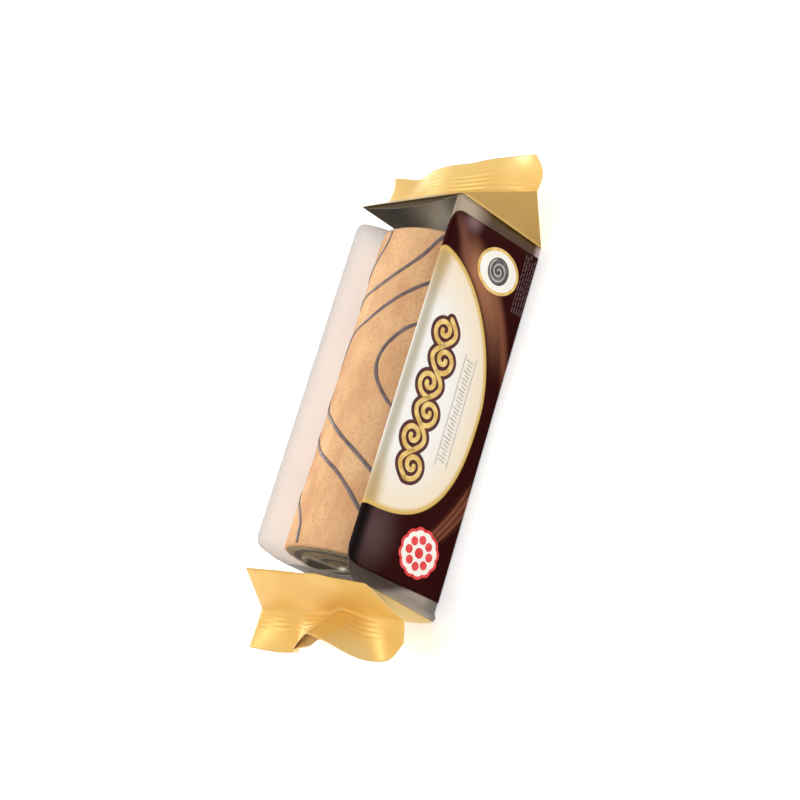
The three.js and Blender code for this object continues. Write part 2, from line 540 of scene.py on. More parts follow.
def clear_film_look():
    look = Look("clear_film")
    ripple = look.noise(14, place=look.stretched(0.35, 1, 1))
    gloss = look.add("ShaderNodeBsdfGlossy", Color=WHITE, Roughness=0.07, Normal=look.bump(ripple, 0.5))
    clear = look.add("ShaderNodeBsdfTransparent", Color=WHITE)
    slant = look.add("ShaderNodeLayerWeight", Blend=0.5).outputs["Facing"]
    grazing = look.math("POWER", slant, FILM_SHINE_POWER)
    film = look.mixed(look.math("MULTIPLY_ADD", grazing, FILM_SHINE_GAIN, FILM_SHINE), clear, gloss)
    # Painted shade, light and glints laid over the clear film
    tint, share = film_painted_light(look)
    painted_tone = look.principled(Base_Color=tint, Roughness=0.35, Specular_IOR_Level=0.2)
    return look.finish(look.mixed(share, film, painted_tone))


# The gold ends

# The gold is painted with light and shade: lighter towards the far end, and lighter or darker by the way its
# faces look
GOLD_ALONG = (-60, 60)
FACES_FRONT = (-0.45, -0.8)
FACES_FAR = (0.55, 0.75)
FACES_BACK = (0.62, 0.78)
FAR_SHADE_HEIGHTS = (30, 54)
# Where the inside of the near fin's tip is painted lighter, as painted light in its shade
INNER_TIP_LIGHT_PLACES = (-120, -128)


def gold_look():
    look = Look("gold_film")
    mottle = look.noise(30)
    fine = look.noise(6, 3.0, place=look.stretched(1, 0.3, 1))
    to_far = look.fade(look.x, *GOLD_ALONG)
    # The far end's gold is painted lighter, as painted light
    near_base = look.clouded(mottle, colour(226, 178, 86), colour(236, 192, 104))
    far_base = look.clouded(mottle, colour(244, 198, 106), colour(254, 214, 126))
    base = look.blend(to_far, near_base, far_base)
    facing = look.add("ShaderNodeNewGeometry").outputs["Normal"]
    along, across, _ = look.add("ShaderNodeSeparateXYZ", Vector=facing).outputs
    # Faces that look to the front: painted light near the near end, painted shade at the far end
    front_light_and_shade = look.blend(to_far, colour(232, 201, 134), colour(166, 128, 60))
    base = look.blend(look.times(look.fade(across, *FACES_FRONT), 0.85), base, front_light_and_shade)
    # Painted shade on faces that look to the far end, darker higher up
    far_shade = look.times(look.fade(along, *FACES_FAR), look.fade(look.z, *FAR_SHADE_HEIGHTS))
    base = look.blend(far_shade, base, colour(112, 88, 44))
    # Painted shade on faces that look to the back
    base = look.blend(look.fade(across, *FACES_BACK), base, colour(204, 156, 80))
    return look.finish(look.principled(
        Base_Color=base, Metallic=0.3, Roughness=look.fade(look.x, *GOLD_ALONG, 0.48, 0.34),
        Normal=look.bump(fine, 0.12)))


def inner_foil_look():
    look = Look("inner_foil")
    cloud = look.noise(22)
    base = look.clouded(cloud, colour(140, 126, 104), colour(168, 152, 126))
    # Painted light: the inside is lighter towards the near fin's tip, which lies in shade
    base = look.blend(look.fade(look.x, *INNER_TIP_LIGHT_PLACES), base, colour(240, 212, 160))
    return look.finish(look.principled(
        Base_Color=base, Metallic=0.3, Roughness=0.38, Normal=look.bump(cloud, 0.3)))


# The print

# The cream oval on the front. It is fuller towards the near end and more pointed to the far end.
OVAL_X = -1.0
OVAL_Z = 62.0
OVAL_HALF_HEIGHT = 53.2
OVAL_NEAR = {"length": 67.9, "power": 2.75}
OVAL_FAR = {"length": 72.1, "power": 1.7}

# Levels count from the oval's middle, and are 1 on its edge. Where the oval ends, where its gold
# rim begins, and where its warm tones begin.
OVAL_EDGE = (1.003, 0.993)
RIM_LEVELS = (0.943, 0.985)
WARM_LEVELS = (0.5, 0.98)
TINT_LEVELS = (0.5, 0.97)
TINT_HEIGHTS = (52, 60)

# Painted shade of cream in a grey band along the pack's upper edge, where the film folds over it
FOLD_SHADE_START = (56, 60.4)
FOLD_SHADE_STOP = (65.6, 63.8)

# Light streaks under the oval's near end, side by side on one rising curve
STREAK_START_X = -33.0
STREAK_REACH = 36.0
STREAK_RISE = 16.0
STREAK_POWER = 1.5
STREAK_HEIGHTS = (-4.6, -1.2, 1.8)
STREAK_STARTS = (0.0, 0.35)
STREAK_STOPS = (1.15, 0.95)
STREAK_WIDTHS = (1.3, 0.0)
GLOW_MIDDLE = -1.5
GLOW_WIDTHS = (7.5, 0.0)

# The broad light sweep that follows the oval's far side, and the thin one under it
BROAD_STARTS = (0.98, 1.05)
BROAD_STOPS = (1.32, 1.1)
BROAD_ALONG = (16, 72)
BROAD_HEIGHTS = (56, 38)
THIN_STARTS = (1.15, 1.22)
THIN_STOPS = (1.3, 1.22)
THIN_ALONG = ((6, 34), (80, 55))

# A light band that slants up to the far upper corner starts here, and rises by this share
SLANT_START = (62.0, 41.0)
SLANT_RISE = 0.62
SLANT_WIDTHS = (6.0, 0.5)
SLANT_ALONG = ((62, 74), (94, 84))

# Painted sheen and a painted highlight on the brown, each with its middle, its reach, its strength and its
# colour
GREY_SHEEN_SPOT = ((-80, 53), (27, 20), 0.5, (112, 90, 90))
PALE_HIGHLIGHT_SPOT = ((90.5, 49), (9, 9), 0.8, (140, 110, 110))

# The black band along the upper edge, towards the near end
BLACK_HEIGHTS = (55, 60)
BLACK_ALONG = (-40, -66)

# The oval stops above the underside
UNDERSIDE_HEIGHTS = (0.8, 1.6)


def oval_level(look, height):
    is_far = look.math("GREATER_THAN", look.x, OVAL_X)

    def by_side(key):
        return look.math("MULTIPLY_ADD", is_far, OVAL_FAR[key] - OVAL_NEAR[key], OVAL_NEAR[key])

    power = by_side("power")
    along = look.math("DIVIDE", look.away(look.x, OVAL_X), by_side("length"))
    up = look.math("DIVIDE", look.away(height, OVAL_Z), OVAL_HALF_HEIGHT)
    whole = look.math("ADD", look.math("POWER", along, power), look.math("POWER", up, power))
    return look.math("POWER", whole, look.math("DIVIDE", 1.0, power))


def streaks(look, brown):
    along = look.math("DIVIDE", look.math("SUBTRACT", STREAK_START_X, look.x), STREAK_REACH)
    rise = look.math("POWER", look.math("MAXIMUM", along, 0.0), STREAK_POWER)
    above = look.math("SUBTRACT", look.z, look.times(rise, STREAK_RISE))
    ends = look.times(look.fade(along, *STREAK_STARTS), look.fade(along, *STREAK_STOPS))
    glow = look.fade(look.away(above, GLOW_MIDDLE), *GLOW_WIDTHS)
    brown = look.layer(brown, look.times(glow, ends), 0.5, (134, 76, 52))
    for height in STREAK_HEIGHTS:
        line = look.fade(look.away(above, height), *STREAK_WIDTHS)
        brown = look.layer(brown, look.times(line, ends), 0.45, (158, 104, 76))
    return brown


def sweeps(look, level, brown):
    broad = look.times(
        look.fade(level, *BROAD_STARTS), look.fade(level, *BROAD_STOPS),
        look.fade(look.x, *BROAD_ALONG), look.fade(look.z, *BROAD_HEIGHTS))
    brown = look.layer(brown, broad, 0.85, (176, 118, 86))
    thin = look.times(
        look.fade(level, *THIN_STARTS), look.fade(level, *THIN_STOPS),
        *(look.fade(look.x, *stretch) for stretch in THIN_ALONG))
    brown = look.layer(brown, thin, 0.55, (150, 92, 66))
    past_start = look.math("SUBTRACT", look.x, SLANT_START[0])
    rise = look.math("MULTIPLY_ADD", past_start, SLANT_RISE, SLANT_START[1])
    slant = look.times(
        look.fade(look.away(look.z, rise), *SLANT_WIDTHS),
        *(look.fade(look.x, *stretch) for stretch in SLANT_ALONG))
    return look.layer(brown, slant, 0.6, (132, 84, 68))


def spotted(look, spot, brown):
    middle, reach, strength, tone = spot
    return look.layer(brown, soft_spot(look, look.x, look.z, middle, reach), strength, tone)


def brown_field(look, height, level):
    brown = look.blend(look.noise(26), colour(38, 3, 3), colour(54, 8, 6))
    # A painted sheen near the upper near corner
    brown = spotted(look, GREY_SHEEN_SPOT, brown)
    brown = sweeps(look, level, brown)
    # A painted highlight near the upper far corner
    brown = spotted(look, PALE_HIGHLIGHT_SPOT, brown)
    brown = streaks(look, brown)
    black_band = look.times(look.fade(height, *BLACK_HEIGHTS), look.fade(look.x, *BLACK_ALONG))
    return look.layer(brown, black_band, 0.9, (10, 7, 7))


def cream_field(look, height, level):
    cream = look.blend(look.fade(level, *WARM_LEVELS), colour(244, 240, 235), colour(242, 226, 200))
    # Painted shade along the upper edge's fold
    fold_shade = look.times(look.fade(height, *FOLD_SHADE_START), look.fade(height, *FOLD_SHADE_STOP))
    cream = look.layer(cream, fold_shade, 0.92, (194, 184, 162))
    tint = look.times(look.fade(level, *TINT_LEVELS), look.fade(height, *TINT_HEIGHTS))
    cream = look.layer(cream, tint, 0.8, (196, 158, 96))
    return look.blend(look.fade(level, *RIM_LEVELS), cream, colour(218, 182, 102))


# Heights on the print go on past the tube's upper edge, on to its top
def printed_look():
    look = Look("printed_film")
    past_edge = look.math("MAXIMUM", look.math("ADD", look.y, HALF_WIDTH), 0.0)
    height = look.math("ADD", look.z, look.times(past_edge, look.fade(look.z, *TOP_HEIGHTS)))
    level = oval_level(look, height)
    inside = look.times(look.fade(level, *OVAL_EDGE), look.fade(look.z, *UNDERSIDE_HEIGHTS))
    paint = look.blend(inside, brown_field(look, height, level), cream_field(look, height, level))
    wrinkle = look.noise(12, place=look.stretched(0.3, 1, 1))
    return look.finish(look.principled(
        Base_Color=paint, Roughness=look.fade(wrinkle, 0.2, 0.8, 0.22, 0.32),
        Specular_IOR_Level=0.03, Normal=look.bump(wrinkle, 0.25)))


def print_back_look():
    look = Look("print_back")
    base = look.blend(look.noise(18), colour(190, 180, 165), colour(205, 196, 182))
    return look.finish(look.principled(Base_Color=base, Roughness=0.4))


# The tray, the cake and the inks

# The tray is painted a little greyer towards its rim and its ends, as painted shade
TRAY_RIM_HEIGHTS = (54, 61)
TRAY_END_PLACES = (84, 95)


def tray_look():
    look = Look("tray")
    cloud = look.noise(24)
    base = look.blend(cloud, colour(246, 244, 242), colour(251, 249, 247))
    # Painted shade, greyer towards the rim and the ends
    by_end = look.fade(look.math("ABSOLUTE", look.x), *TRAY_END_PLACES)
    painted_edge_shade = look.math("MAXIMUM", look.fade(look.z, *TRAY_RIM_HEIGHTS), by_end)
    base = look.layer(base, painted_edge_shade, 0.3, (214, 212, 211))
    solid = look.principled(Base_Color=base, Roughness=0.45, Normal=look.bump(cloud, 0.3))
    through = look.add("ShaderNodeBsdfTranslucent", Color=base)
    clear = look.add("ShaderNodeBsdfTransparent", Color=WHITE)
    return look.finish(look.mixed(0.06, look.mixed(0.5, solid, through), clear))


def sponge_look():
    look = Look("sponge")
    patches = look.noise(13, 4.0, 0.6, look.stretched(0.6, 1, 1))
    grain = look.noise(1.6, 4.0, 0.6)
    pores = look.noise(0.8)
    base = look.blend(look.fade(patches, 0.32, 0.68), colour(243, 194, 138), colour(222, 165, 112))
    base = look.layer(base, look.fade(grain, 0.42, 0.68), 0.34, (196, 134, 82))
    base = look.layer(base, look.fade(pores, 0.6, 0.75), 0.3, (244, 204, 152))
    height = look.math("ADD", look.times(grain, 0.6), look.times(pores, 0.4))
    return look.finish(look.principled(
        Base_Color=base, Roughness=0.8, Subsurface_Weight=0.08, Subsurface_Radius=(0.002, 0.001, 0.0006),
        Subsurface_Scale=1.0, Normal=look.bump(height, 0.5)))


def crumb_look():
    look = Look("crumb")
    holes = look.noise(1.2, 3.0)
    base = look.blend(look.fade(holes, 0.35, 0.65), colour(172, 142, 98), colour(206, 178, 134))
    return look.finish(look.principled(Base_Color=base, Roughness=0.9, Normal=look.bump(holes, 0.6)))


def filling_look():
    look = Look("filling")
    cloud = look.noise(2.5)
    base = look.blend(cloud, colour(88, 74, 70), colour(112, 98, 92))
    return look.finish(look.principled(Base_Color=base, Roughness=0.5, Normal=look.bump(cloud, 0.3)))


def stripe_look():
    look = Look("icing_stripes")
    cloud = look.noise(5, 3.0)
    base = look.clouded(cloud, colour(90, 74, 74), colour(122, 101, 99))
    return look.finish(look.principled(Base_Color=base, Roughness=0.45, Normal=look.bump(cloud, 0.2)))


def ink_look(name, first, second, size=6.0):
    look = Look(name)
    base = look.clouded(look.noise(size), first, second)
    return look.finish(look.principled(Base_Color=base, Roughness=0.3, Specular_IOR_Level=0.3))


# The wrapper

SPOTS = ring_spots()
FILM_THICKNESS = 0.14
PRINT_THICKNESS = 0.1
CLEAR_INSET = 0.3
CLEAR_STEPS = 60


# Places along the fin, as shares of its length: close together over the pressed ridges
def fin_shares(end):
    ridge_end = RIDGE_COUNT * RIDGE_PITCH / end["fin_length"]
    pressed = spread_evenly(0.0, ridge_end, RIDGE_COUNT * STEPS_PER_RIDGE)
    return pressed + spread_evenly(ridge_end, 1.0, PLAIN_FIN_STEPS)[1:]


def gold_start(end, spot):
    y, z = ring_place(spot, HALF_WIDTH, MIDDLE, FILM_EDGE_RADIUS)
    return over_corners(end["gold_start"], *shares_of(y, z))


def gold_rows(end, inset):
    starts = [gold_start(end, spot) for spot in SPOTS]
    rows = []
    for i in range(CLOSING_STEPS):
        share = i / CLOSING_STEPS
        rows.append([
            closing_point(end, spot, lerp(start, 1.0, share), inset) for spot, start in zip(SPOTS, starts)])
    for share in fin_shares(end):
        rows.append([fin_point(end, spot, share, inset) for spot in SPOTS])
    return rows


def gold_end(name, end, gold, foil):
    outer = gold_rows(end, 0.0)
    inner = gold_rows(end, FILM_THICKNESS)
    if end["side"] < 0:
        outer.reverse()
        inner.reverse()
    return wear(sheet_between(name, outer, inner, [gold, foil], around=True))


# The clear film runs from the gold at one end to the gold at the other, under the print
def clear_rows(inset):
    starts = [gold_start(NEAR_END, spot) for spot in SPOTS]
    rows = []
    for i in range(CLOSING_STEPS):
        share = 1 - i / CLOSING_STEPS
        rows.append([
            closing_point(NEAR_END, spot, start * share, inset) for spot, start in zip(SPOTS, starts)])
    for share in spread_evenly(0.0, 1.0, CLEAR_STEPS):
        rows.append([
            shoulder_point(NEAR_END, spot, inset).lerp(shoulder_point(FAR_END, spot, inset), share)
            for spot in SPOTS])
    return rows


def clear_tube(film):
    outer = clear_rows(CLEAR_INSET)
    inner = clear_rows(CLEAR_INSET + FILM_THICKNESS)
    return wear(sheet_between("clear_film", outer, inner, [film], around=True))


PRINT_NEAR_X = -99.2
PRINT_FAR_X = 92.0
PRINT_CORNER_RADIUS = 9.0
PRINT_OVER_TOP = 2.4
PRINT_UNDER_SHARE = 1.94
PRINT_STEPS = 90
PRINT_CORNER_STEPS = 14
PRINT_SIDE_STEPS = 29
PRINT_UNDER_STEPS = 40
FLAT_HALF_WIDTH = HALF_WIDTH - FILM_EDGE_RADIUS
FLAT_HALF_HEIGHT = MIDDLE - FILM_EDGE_RADIUS
EDGE_ARC = QUARTER * FILM_EDGE_RADIUS

# Distances along the print's sheet from its upper border, which lies a little way over the
# top: to the start and the end of the side, and to the start of the underside
SIDE_START = PRINT_OVER_TOP + EDGE_ARC
SIDE_STOP = SIDE_START + 2 * FLAT_HALF_HEIGHT
UNDER_START = SIDE_STOP + EDGE_ARC
UNDER_STOP = UNDER_START + PRINT_UNDER_SHARE * FLAT_HALF_WIDTH


# The spot round the tube at a distance along the print's sheet
def print_spot(distance):
    if distance < PRINT_OVER_TOP:
        return -1 + (PRINT_OVER_TOP - distance) / FLAT_HALF_WIDTH, 1, QUARTER
    if distance < SIDE_START:
        return -1, 1, QUARTER * (1 + (distance - PRINT_OVER_TOP) / EDGE_ARC)
    if distance < SIDE_STOP:
        return -1, 1 - (distance - SIDE_START) / FLAT_HALF_HEIGHT, 2 * QUARTER
    if distance < UNDER_START:
        return -1, -1, QUARTER * (2 + (distance - SIDE_STOP) / EDGE_ARC)
    return -1 + (distance - UNDER_START) / FLAT_HALF_WIDTH, -1, 3 * QUARTER


# The print covers the front and goes on over the underside. Its upper corners are rounded.
def printed_rows(inset):
    corner = spread_evenly(QUARTER, 0, PRINT_CORNER_STEPS)
    distances = [PRINT_CORNER_RADIUS * (1 - math.sin(angle)) for angle in corner]
    distances += spread_evenly(PRINT_CORNER_RADIUS, SIDE_STOP, PRINT_SIDE_STEPS)[1:]
    distances += spread_evenly(SIDE_STOP, UNDER_START, EDGE_STEPS)[1:]
    distances += spread_evenly(UNDER_START, UNDER_STOP, PRINT_UNDER_STEPS)[1:]
    columns = []
    for distance in distances:
        above = max(0.0, PRINT_CORNER_RADIUS - distance)
        cut = PRINT_CORNER_RADIUS - math.sqrt(PRINT_CORNER_RADIUS ** 2 - above ** 2)
        places = spread_evenly(PRINT_NEAR_X + cut, PRINT_FAR_X - cut, PRINT_STEPS)
        spot = print_spot(distance)
        columns.append([wrap_point(spot, x, inset) for x in places])
    return columns


def printed_side(film, back):
    outer = printed_rows(0.0)
    inner = printed_rows(PRINT_THICKNESS)
    outer.reverse()
    inner.reverse()
    return wear(sheet_between("printed_film", outer, inner, [film, back]))


# The tray

TRAY_TOP = 61.2
TRAY_HALF_WIDTH = 39.9
TRAY_MIDDLE_X = -0.7
TRAY_HALF_LENGTH = 94.9
TRAY_CORNER = 6.0
TRAY_RIM_RADIUS = 9.0
TRAY_FLOOR = 0.92
TRAY_FOOT_RADIUS = 5.0
TRAY_THICKNESS = 0.35

# The walls lean in towards the floor by the draft, and the end walls flare out below a height
TRAY_DRAFT = 2.6
TRAY_FLARE = 1.4
TRAY_FLARE_HEIGHTS = (60, 46)

# The end walls are low, and dip at the middle. The rim falls to them beside the long walls.
TRAY_END_HEIGHT = 43.0
TRAY_END_DIP = 13.0
TRAY_DIP_ACROSS = (TRAY_HALF_WIDTH - 12, 4)
TRAY_FALL_ACROSS = (TRAY_HALF_WIDTH - 1.0, TRAY_HALF_WIDTH - 3.5)

# How finely the tray is cut
TRAY_CORNER_STEPS = 10
TRAY_LONG_STEPS = 80
TRAY_SHORT_STEPS = 36
TRAY_FOOT_STEPS = 5
TRAY_WALL_STEPS = 16
TRAY_FLOOR_SHARES = (0.02, 0.3, 0.6, 0.85)
TRAY_FLAT_X = TRAY_HALF_LENGTH - TRAY_CORNER
TRAY_FLAT_Y = TRAY_HALF_WIDTH - TRAY_CORNER
NEARLY = 0.1


# The tray's plan: places round a rounded rectangle, each with its outward direction. The
# middles of its rounded corners stay where they are, and the walls move out from them.
def tray_plan():
    plan = []
    corners = [(1, 1), (-1, 1), (-1, -1), (1, -1)]
    for i, here in enumerate(corners):
        there = corners[(i + 1) % len(corners)]
        facing = (i + 1) * QUARTER
        for angle in spread_evenly(facing - QUARTER, facing, TRAY_CORNER_STEPS)[:-1]:
            plan.append((here[0] * TRAY_FLAT_X, here[1] * TRAY_FLAT_Y, angle))
        steps = TRAY_LONG_STEPS if i % 2 == 0 else TRAY_SHORT_STEPS
        for share in spread_evenly(0, 1, steps)[:-1]:
            x = lerp(here[0], there[0], share) * TRAY_FLAT_X
            y = lerp(here[1], there[1], share) * TRAY_FLAT_Y
            plan.append((x, y, facing))
    return plan


TRAY_PLAN = tray_plan()


# The height of the tray's rim over one place
def tray_height(x, y):
    to_end = TRAY_HALF_LENGTH - abs(x - TRAY_MIDDLE_X)
    into_rim = clamp(TRAY_RIM_RADIUS - to_end, 0, TRAY_RIM_RADIUS)
    side = TRAY_TOP - TRAY_RIM_RADIUS + math.sqrt(TRAY_RIM_RADIUS ** 2 - into_rim ** 2)
    end = TRAY_END_HEIGHT - TRAY_END_DIP * smooth(*TRAY_DIP_ACROSS, abs(y))
    fall = smooth(*TRAY_FALL_ACROSS, abs(y)) if to_end < TRAY_CORNER else 0
    return lerp(side, end, fall)


def tray_point(plan_place, height, inset):
    x, y, facing = plan_place
    draft = TRAY_DRAFT * (1 - height / TRAY_TOP) * clamp(abs(y) / TRAY_FLAT_Y)
    at_end = abs(x) > TRAY_FLAT_X - NEARLY
    flare = TRAY_FLARE * smooth(*TRAY_FLARE_HEIGHTS, height) if at_end else 0.0
    foot = clamp((TRAY_FOOT_RADIUS - (height - TRAY_FLOOR)) / TRAY_FOOT_RADIUS)
    tucked = (TRAY_FOOT_RADIUS - inset) * (1 - math.sqrt(1 - foot ** 2))
    out = TRAY_CORNER - inset - tucked
    return Vector((
        TRAY_MIDDLE_X + x + math.cos(facing) * out + math.copysign(flare, x),
        y + math.sin(facing) * out - math.copysign(draft, y),
        height,
    ))


def tray_rows(inset):
    floor = TRAY_FLOOR + inset
    sole = [tray_point(place, floor, inset) for place in TRAY_PLAN]
    rows = [[Vector((p.x * share, p.y * share, floor)) for p in sole] for share in TRAY_FLOOR_SHARES]
    for angle in spread_evenly(0, QUARTER, TRAY_FOOT_STEPS):
        height = floor + TRAY_FOOT_RADIUS * (1 - math.cos(angle))
        rows.append([tray_point(place, height, inset) for place in TRAY_PLAN])
    start = floor + TRAY_FOOT_RADIUS
    for share in spread_evenly(0, 1, TRAY_WALL_STEPS)[1:]:
        row = []
        for place in TRAY_PLAN:
            wall = tray_point(place, TRAY_TOP, 0)
            top = tray_height(wall.x, wall.y)
            row.append(tray_point(place, lerp(start, top, share), inset))
        rows.append(row)
    return rows


def tray(look):
    outer = tray_rows(0.0)
    inner = tray_rows(TRAY_THICKNESS)
    return wear(sheet_between("tray", outer, inner, [look], around=True))


# The roll of cake

ROLL_MIDDLE_Y = 2.0
ROLL_MIDDLE_Z = 31.2
ROLL_HALF_WIDTH = 34.0
ROLL_HALF_HEIGHT = 29.6
ROLL_NEAR_X = -92.0
ROLL_FAR_X = 85.5
ROLL_RIM_RADIUS = 1.6
ROLL_STEPS_ALONG = 150
ROLL_STEPS_AROUND = 140
ROLL_RIM_STEPS = 4

# How uneven the roll's skin is: in long bumps, and in finer ones that are weaker
ROLL_UNEVENNESS = 0.7
BUMP_LENGTH = 38
BUMPS_AROUND = 1.1
FINE_BUMPS = 3.1
FINE_BUMP_SHARE = 0.35

# The end faces are rough, and stand out a little. They are cut into rings at these shares.
END_RING_SHARES = (0.85, 0.7, 0.55, 0.4, 0.25, 0.12)
END_STANDS_OUT = 0.25
END_ROUGHNESS = 0.5
END_BUMP_SIZE = 5


# A point of the roll: the angle is counted from the top towards the back, and depth is how
# far under the skin it lies
def roll_point(x, angle, depth=0.0, lift=0.0):
    across = math.sin(angle)
    up = math.cos(angle)
    place = Vector((x / BUMP_LENGTH, across * BUMPS_AROUND, up * BUMPS_AROUND))
    uneven = noise.noise(place) + FINE_BUMP_SHARE * noise.noise(place * FINE_BUMPS)
    grown = ROLL_UNEVENNESS * uneven + lift - depth
    return Vector((
        x,
        ROLL_MIDDLE_Y + (ROLL_HALF_WIDTH + grown) * across,
        ROLL_MIDDLE_Z + (ROLL_HALF_HEIGHT + grown) * up,
    ))


# Places along the roll, each with how far its rounded rim lies under the skin there
def roll_stations():
    angles = spread_evenly(0, QUARTER, ROLL_RIM_STEPS)
    rim = [(ROLL_RIM_RADIUS * (1 - math.sin(a)), ROLL_RIM_RADIUS * (1 - math.cos(a))) for a in angles]
    near = [(ROLL_NEAR_X + step, depth) for step, depth in reversed(rim)]
    far = [(ROLL_FAR_X - step, depth) for step, depth in rim]
    straight = spread_evenly(near[-1][0], far[0][0], ROLL_STEPS_ALONG)[1:-1]
    return near + [(x, 0.0) for x in straight] + far


# One end face of the roll, from its rim in to its middle
def roll_end(points, faces, rim_start, outward):
    count = ROLL_STEPS_AROUND
    rim = points[rim_start:rim_start + count]
    x = rim[0].x
    centre = Vector((x, ROLL_MIDDLE_Y, ROLL_MIDDLE_Z))
    previous = list(range(rim_start, rim_start + count))

    def add_face(face):
        faces.append(face if outward > 0 else tuple(reversed(face)))

    for share in END_RING_SHARES:
        current = list(range(len(points), len(points) + count))
        for rim_point in rim:
            point = centre.lerp(rim_point, share)
            rough = noise.noise(Vector((point.y / END_BUMP_SIZE, point.z / END_BUMP_SIZE, x)))
            point.x = x + outward * (END_STANDS_OUT + END_ROUGHNESS * rough)
            points.append(point)
        for column in range(count):
            following = (column + 1) % count
            add_face((previous[column], previous[following], current[following], current[column]))
        previous = current
    add_face(tuple(previous))


def roll_skin(skin, crumb):
    count = ROLL_STEPS_AROUND
    angles = [TURN * i / count for i in range(count)]
    stations = roll_stations()
    points = [roll_point(x, angle, depth) for x, depth in stations for angle in angles]
    faces = []
    for row in range(len(stations) - 1):
        here = row * count
        there = here + count
        for column in range(count):
            following = (column + 1) % count
            faces.append((here + column, here + following, there + following, there + column))
    skin_faces = len(faces)
    roll_end(points, faces, 0, -1)
    roll_end(points, faces, (len(stations) - 1) * count, 1)
    face_looks = [0] * skin_faces + [1] * (len(faces) - skin_faces)
    return wear(new_piece("roll", points, faces, [skin, crumb], face_looks))


# The filling lies between the turns of the rolled sponge, and shows as a spiral at both ends
SPIRAL_START = math.radians(182)
SPIRAL_STOP = math.radians(-425)
SPIRAL_PITCH = 0.46
SPIRAL_STEPS = 150
FILLING_THICKNESS = 3.0
FILLING_PROUD = 0.5
FILLING_DEPTH = 1.5


def spiral_point(angle, offset):
    turned = (SPIRAL_START - angle) / TURN
    share = 1 - SPIRAL_PITCH * turned
    y = (ROLL_HALF_WIDTH - FILLING_DEPTH) * share + offset
    z = (ROLL_HALF_HEIGHT - FILLING_DEPTH) * share + offset
    return y * math.sin(angle), z * math.cos(angle)


def filling(look):
    angles = spread_evenly(SPIRAL_START, SPIRAL_STOP, SPIRAL_STEPS)
    outline = [spiral_point(angle, FILLING_THICKNESS / 2) for angle in angles]
    outline += [spiral_point(angle, -FILLING_THICKNESS / 2) for angle in reversed(angles)]
    count = len(outline)
    stations = [ROLL_NEAR_X - FILLING_PROUD, ROLL_FAR_X + FILLING_PROUD]
    points = [
        Vector((x, ROLL_MIDDLE_Y + y, ROLL_MIDDLE_Z + z)) for x in stations for y, z in outline]
    faces = []
    for i in range(count):
        following = (i + 1) % count
        faces.append((i, following, count + following, count + i))
    for i in range(len(angles) - 1):
        mirror = count - 1 - i
        faces.append((i, mirror, mirror - 1, i + 1))
        faces.append((count + i, count + i + 1, count + mirror - 1, count + mirror))
    return wear(new_piece("filling", points, faces, [look], smooth_faces=False))


# The drizzled stripes: lines over the roll in nested loops that open to the front. Each is a
# smooth curve through points of (place along the cake, degrees from the top to the back).
STRIPES = [
    [(38, -72), (32.5, -47), (27, -35), (19, -25), (11, -21), (3.6, -23), (-3.5, -30), (-12.5, -46),
     (-20, -70)],
    [(66, -75), (56, -47), (49, -30), (40, -11), (31.5, 8.5), (25, 33), (12, 47), (-3, 50), (-14, 38),
     (-24, 14), (-31, -3.5), (-40, -27), (-47, -44.5), (-59, -75)],
    [(98, -75), (82, -47), (70, -33), (60, -15), (51, 8), (46, 38), (36, 70), (10, 96), (-16, 72), (-32, 39),
     (-41, 17), (-51, -13), (-59, -30), (-67, -44), (-82, -72)],
    [(97, 4), (83, 13), (75, 17), (66, 32), (58, 52), (48, 96), (8, 150), (-38, 100), (-58, 52), (-66, 33),
     (-77, 14), (-86, 9), (-97, 4)],
]
STRIPE_WIDTH = 2.1
STRIPE_HEIGHT = 0.45
STRIPE_STEP = 1.2
STRIPE_FROM_RIM = 1.2

# A stripe's width swells and shrinks by this share, over this length and with its own pattern
STRIPE_SWELL = 0.22
SWELL_LENGTH = 9
SWELL_PATTERN = 7.3
SWELL_ROW = 0.4

# A stripe's section: (share of its half width, share of its height)
STRIPE_SECTION = [(-1.0, -0.5), (-0.9, 0.45), (-0.5, 0.9), (0.0, 1.0), (0.5, 0.9), (0.9, 0.45), (1.0, -0.5)]


def curve_through(points, step):
    places = [Vector(point) for point in points]
    places = [2 * places[0] - places[1]] + places + [2 * places[-1] - places[-2]]
    line = []
    for i in range(1, len(places) - 2):
        before, start, stop, after = places[i - 1:i + 3]
        steps = max(2, round((stop - start).length / step))
        for k in range(steps):
            t = k / steps
            line.append(0.5 * (
                2 * start + (stop - before) * t + (2 * before - 5 * start + 4 * stop - after) * t ** 2
                + (3 * start - before - 3 * stop + after) * t ** 3))
    line.append(places[-2])
    return line


# The way ahead at one place of a path, from the place before it to the place after it
def way_ahead(path, i):
    return path[min(i + 1, len(path) - 1)] - path[max(i - 1, 0)]


